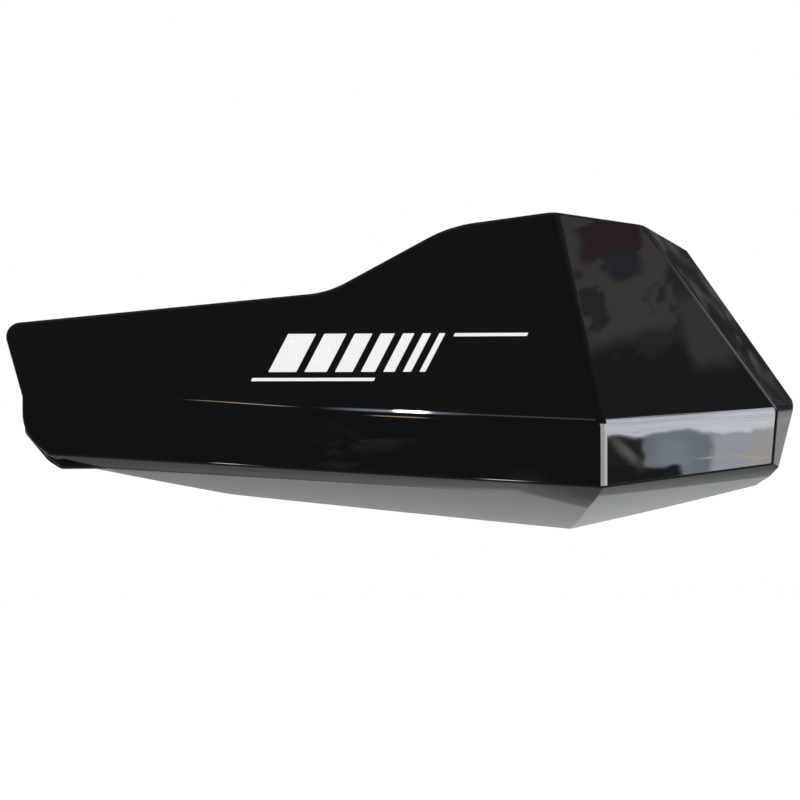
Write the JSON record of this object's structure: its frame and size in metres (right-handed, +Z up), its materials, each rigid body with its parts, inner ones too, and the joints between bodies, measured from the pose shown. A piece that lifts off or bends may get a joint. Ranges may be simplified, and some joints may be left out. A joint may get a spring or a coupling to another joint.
{
  "type": "motorcycle hand guard",
  "caption": "Faceted gloss-black moulded shell that shields the rider's hand on a handlebar, open at the back, with bosses and threaded inserts for its bracket.",
  "frame": {"origin": "midway between the two bosses, on the plane where the bracket seats", "axes": "+X outboard along the handlebar, +Y back towards the rider, +Z up"},
  "size_m": [0.277, 0.0597, 0.1091],
  "materials": {
    "shell_plastic": "gloss",
    "insert_brass": "satin"
  },
  "bodies": {
    "root": {"guard_shell": "shell_plastic", "inboard_threaded_insert": "insert_brass", "outboard_threaded_insert": "insert_brass"}
  },
  "joints": []
}
